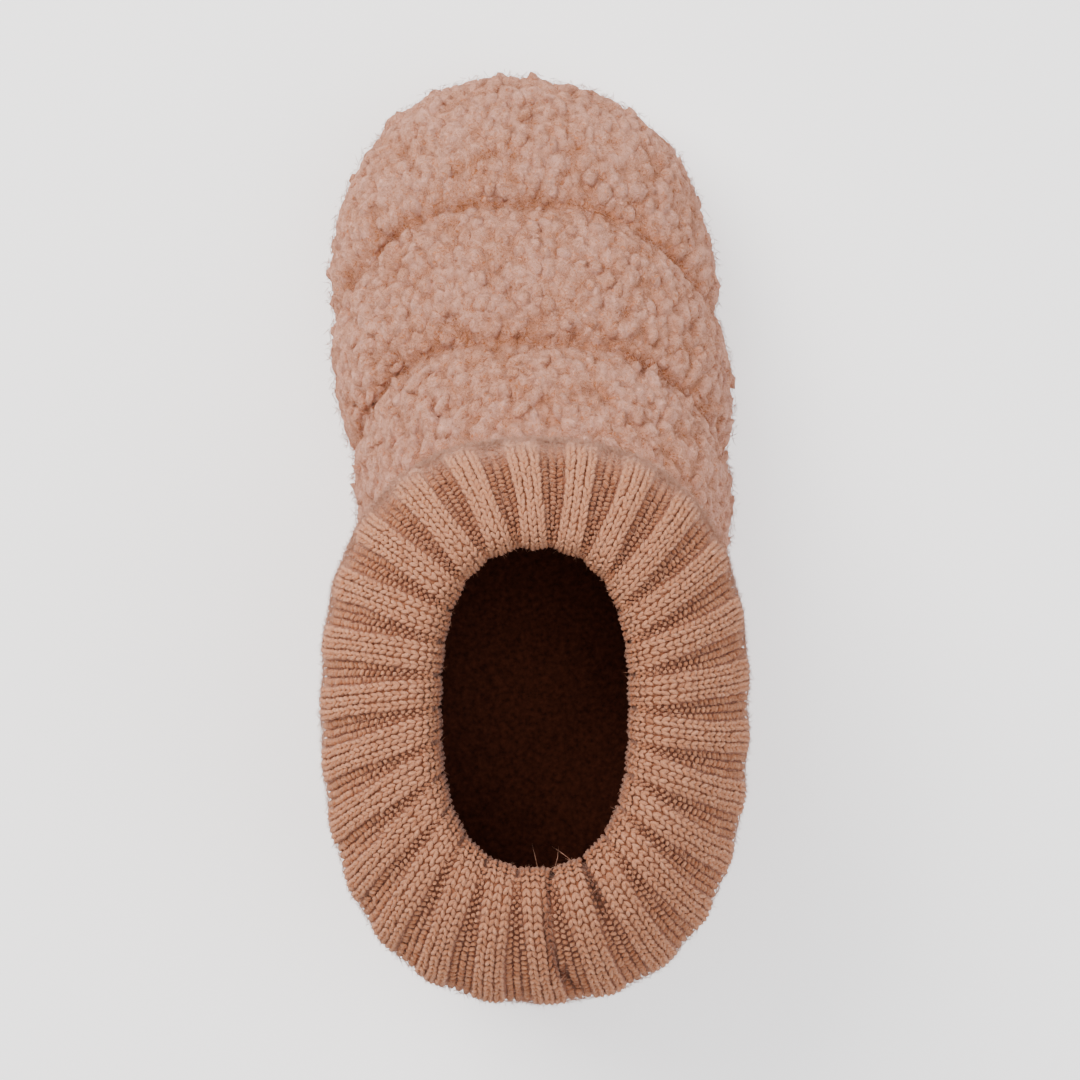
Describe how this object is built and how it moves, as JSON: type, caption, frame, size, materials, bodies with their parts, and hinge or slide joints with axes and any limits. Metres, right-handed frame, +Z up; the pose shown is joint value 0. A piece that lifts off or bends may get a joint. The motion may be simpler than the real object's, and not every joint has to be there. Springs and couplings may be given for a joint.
{
  "type": "slipper bootie",
  "caption": "Right-foot slipper bootie: quilted sherpa-fleece shell on a rubber sole, with a wide folded rib-knit cuff round the ankle opening.",
  "frame": {"origin": "middle of the bounding box at the floor, under the shoe", "axes": "+Y from heel to toe, +X to the outer (lateral) side of the right foot, +Z up from the floor"},
  "size_m": [0.1178, 0.2618, 0.1153],
  "materials": {
    "outsole_rubber": "matte, fine grained",
    "footbed_fleece": "short dark pile",
    "sherpa_fleece": "curly clumped pile",
    "rib_knit": "soft brushed wool rib"
  },
  "bodies": {
    "root": {"outsole": "outsole_rubber", "insole": "footbed_fleece", "upper": "sherpa_fleece", "collar": "rib_knit"}
  },
  "joints": []
}
